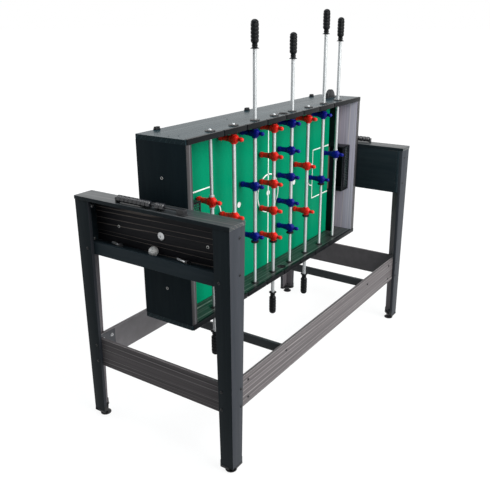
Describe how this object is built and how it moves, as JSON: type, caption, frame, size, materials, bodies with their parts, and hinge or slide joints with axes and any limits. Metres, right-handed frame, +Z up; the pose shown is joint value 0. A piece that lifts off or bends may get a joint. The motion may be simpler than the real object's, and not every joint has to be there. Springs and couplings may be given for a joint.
{
  "type": "swivel game table",
  "caption": "Game table whose foosball and hockey cabinet turns over between two leg frames, with sliding, spinning player rods, ball trays and bead scorers.",
  "frame": {"origin": "on the floor under the middle of the table", "axes": "+X along the table towards its far end, +Y from the foosball side to the hockey side at rest, +Z up"},
  "size_m": [1.345, 0.61, 1.3705],
  "materials": {
    "black_laminate": "matt black laminate with a faint blue cast",
    "dark_grain_laminate": "dark brown-black laminate with thin pale grain lines",
    "grain_laminate": "grey-mauve wood-grain laminate",
    "top_laminate": "blue-grey wood-grain laminate",
    "green_field": "smooth green field board with white lines",
    "hockey_white": "smooth white glide board",
    "black_plastic": "moulded matt black plastic",
    "black_grip": "ribbed black grip",
    "ball_plastic": "white moulded ball",
    "red_players": "glossy red moulded players on a chromed tube",
    "blue_players": "glossy navy blue moulded players on a chromed tube",
    "chrome_rod": "polished chromed steel",
    "steel_fittings": "bright zinc-plated steel"
  },
  "bodies": {
    "frame": {"apron_far": "dark_grain_laminate", "apron_near": "dark_grain_laminate", "ball_tray_far": "black_laminate", "ball_tray_near": "black_laminate", "cross_brace_far": "black_laminate", "cross_brace_near": "black_laminate", "end_stretcher_far": "grain_laminate", "end_stretcher_near": "grain_laminate", "leg_far_left": "black_laminate", "leg_far_right": "black_laminate", "leg_near_left": "black_laminate", "leg_near_right": "black_laminate", "pivot_bolt_far": "steel_fittings", "pivot_bolt_near": "steel_fittings", "side_stretcher_left": "grain_laminate", "side_stretcher_right": "grain_laminate", "top_board_far": "top_laminate", "top_board_near": "top_laminate"},
    "cabinet": {"side_rail_upper": "black_laminate", "side_rail_lower": "black_laminate", "end_wall_near": "grain_laminate", "end_wall_far": "grain_laminate", "goal_near": "black_plastic", "goal_far": "black_plastic", "foosball_field": "green_field", "hockey_field": "hockey_white"},
    "rod_1_core": {"rod_1_inner": "chrome_rod"},
    "rod_1_slider": {"rod_1_outer": "red_players", "rod_1_handle": "black_grip"},
    "rod_2_core": {"rod_2_inner": "chrome_rod"},
    "rod_2_slider": {"rod_2_outer": "red_players", "rod_2_handle": "black_grip"},
    "rod_3_core": {"rod_3_inner": "chrome_rod"},
    "rod_3_slider": {"rod_3_outer": "blue_players", "rod_3_handle": "black_grip"},
    "rod_4_core": {"rod_4_inner": "chrome_rod"},
    "rod_4_slider": {"rod_4_outer": "red_players", "rod_4_handle": "black_grip"},
    "rod_5_core": {"rod_5_inner": "chrome_rod"},
    "rod_5_slider": {"rod_5_outer": "blue_players", "rod_5_handle": "black_grip"},
    "rod_6_core": {"rod_6_inner": "chrome_rod"},
    "rod_6_slider": {"rod_6_outer": "red_players", "rod_6_handle": "black_grip"},
    "rod_7_core": {"rod_7_inner": "chrome_rod"},
    "rod_7_slider": {"rod_7_outer": "blue_players", "rod_7_handle": "black_grip"},
    "rod_8_core": {"rod_8_inner": "chrome_rod"},
    "rod_8_slider": {"rod_8_outer": "blue_players", "rod_8_handle": "black_grip"},
    "foot_near_left_body": {"foot_near_left": "black_plastic"},
    "foot_near_right_body": {"foot_near_right": "black_plastic"},
    "foot_far_left_body": {"foot_far_left": "black_plastic"},
    "foot_far_right_body": {"foot_far_right": "black_plastic"},
    "score_beads_near_body": {"score_beads_near": "black_plastic"},
    "score_pair_near_body": {"score_pair_near": "black_plastic"},
    "score_beads_far_body": {"score_beads_far": "black_plastic"},
    "lock_pin_left_body": {"lock_pin_left": "steel_fittings"},
    "lock_pin_right_body": {"lock_pin_right": "steel_fittings"},
    "game_ball_body": {"game_ball": "ball_plastic"}
  },
  "joints": [
    {"name": "cabinet_flip", "type": "hinge", "parent": "frame", "child": "cabinet", "pos_m": [0, 0, 0.715], "axis": [1, 0, 0], "range_deg": [-90, 90]},
    {"name": "rod_1_spin", "type": "hinge", "parent": "cabinet", "child": "rod_1_core", "pos_m": [-0.43575, -0.0675, 0.715], "axis": [0, 0, 1], "continuous": true},
    {"name": "rod_1_slide", "type": "slide", "parent": "rod_1_core", "child": "rod_1_slider", "axis": [0, 0, 1], "range_m": [-0.2265, 0.0695]},
    {"name": "rod_2_spin", "type": "hinge", "parent": "cabinet", "child": "rod_2_core", "pos_m": [-0.31125, -0.0675, 0.715], "axis": [0, 0, 1], "continuous": true},
    {"name": "rod_2_slide", "type": "slide", "parent": "rod_2_core", "child": "rod_2_slider", "axis": [0, 0, 1], "range_m": [-0.256, 0]},
    {"name": "rod_3_spin", "type": "hinge", "parent": "cabinet", "child": "rod_3_core", "pos_m": [-0.18675, -0.0675, 0.715], "axis": [0, 0, 1], "continuous": true},
    {"name": "rod_3_slide", "type": "slide", "parent": "rod_3_core", "child": "rod_3_slider", "axis": [0, 0, 1], "range_m": [-0.151, 0]},
    {"name": "rod_4_spin", "type": "hinge", "parent": "cabinet", "child": "rod_4_core", "pos_m": [-0.06225, -0.0675, 0.715], "axis": [0, 0, 1], "continuous": true},
    {"name": "rod_4_slide", "type": "slide", "parent": "rod_4_core", "child": "rod_4_slider", "axis": [0, 0, 1], "range_m": [-0.115, 0]},
    {"name": "rod_5_spin", "type": "hinge", "parent": "cabinet", "child": "rod_5_core", "pos_m": [0.06225, -0.0675, 0.715], "axis": [0, 0, 1], "continuous": true},
    {"name": "rod_5_slide", "type": "slide", "parent": "rod_5_core", "child": "rod_5_slider", "axis": [0, 0, 1], "range_m": [-0.115, 0]},
    {"name": "rod_6_spin", "type": "hinge", "parent": "cabinet", "child": "rod_6_core", "pos_m": [0.18675, -0.0675, 0.715], "axis": [0, 0, 1], "continuous": true},
    {"name": "rod_6_slide", "type": "slide", "parent": "rod_6_core", "child": "rod_6_slider", "axis": [0, 0, 1], "range_m": [-0.151, 0]},
    {"name": "rod_7_spin", "type": "hinge", "parent": "cabinet", "child": "rod_7_core", "pos_m": [0.31125, -0.0675, 0.715], "axis": [0, 0, 1], "continuous": true},
    {"name": "rod_7_slide", "type": "slide", "parent": "rod_7_core", "child": "rod_7_slider", "axis": [0, 0, 1], "range_m": [-0.256, 0]},
    {"name": "rod_8_spin", "type": "hinge", "parent": "cabinet", "child": "rod_8_core", "pos_m": [0.43575, -0.0675, 0.715], "axis": [0, 0, 1], "continuous": true},
    {"name": "rod_8_slide", "type": "slide", "parent": "rod_8_core", "child": "rod_8_slider", "axis": [0, 0, 1], "range_m": [-0.2265, 0.0695]},
    {"name": "foot_near_left_screw", "type": "slide", "parent": "frame", "child": "foot_near_left_body", "axis": [0, 0, 1], "range_m": [-0.012, 0]},
    {"name": "foot_near_right_screw", "type": "slide", "parent": "frame", "child": "foot_near_right_body", "axis": [0, 0, 1], "range_m": [-0.012, 0]},
    {"name": "foot_far_left_screw", "type": "slide", "parent": "frame", "child": "foot_far_left_body", "axis": [0, 0, 1], "range_m": [-0.012, 0]},
    {"name": "foot_far_right_screw", "type": "slide", "parent": "frame", "child": "foot_far_right_body", "axis": [0, 0, 1], "range_m": [-0.012, 0]},
    {"name": "score_beads_near_slide", "type": "slide", "parent": "frame", "child": "score_beads_near_body", "axis": [0, 1, 0], "range_m": [-0.0185, 0]},
    {"name": "score_pair_near_slide", "type": "slide", "parent": "frame", "child": "score_pair_near_body", "axis": [0, 1, 0], "range_m": [-0.0485, 0.0185]},
    {"name": "score_beads_far_slide", "type": "slide", "parent": "frame", "child": "score_beads_far_body", "axis": [0, 1, 0], "range_m": [0, 0.068]},
    {"name": "lock_pin_left_lift", "type": "slide", "parent": "frame", "child": "lock_pin_left_body", "axis": [0, 0, 1], "range_m": [0, 0.03]},
    {"name": "lock_pin_right_lift", "type": "slide", "parent": "frame", "child": "lock_pin_right_body", "axis": [0, 0, 1], "range_m": [0, 0.03]},
    {"name": "game_ball_lift", "type": "slide", "parent": "frame", "child": "game_ball_body", "axis": [0, 0, 1], "range_m": [0, 0.03]}
  ]
}
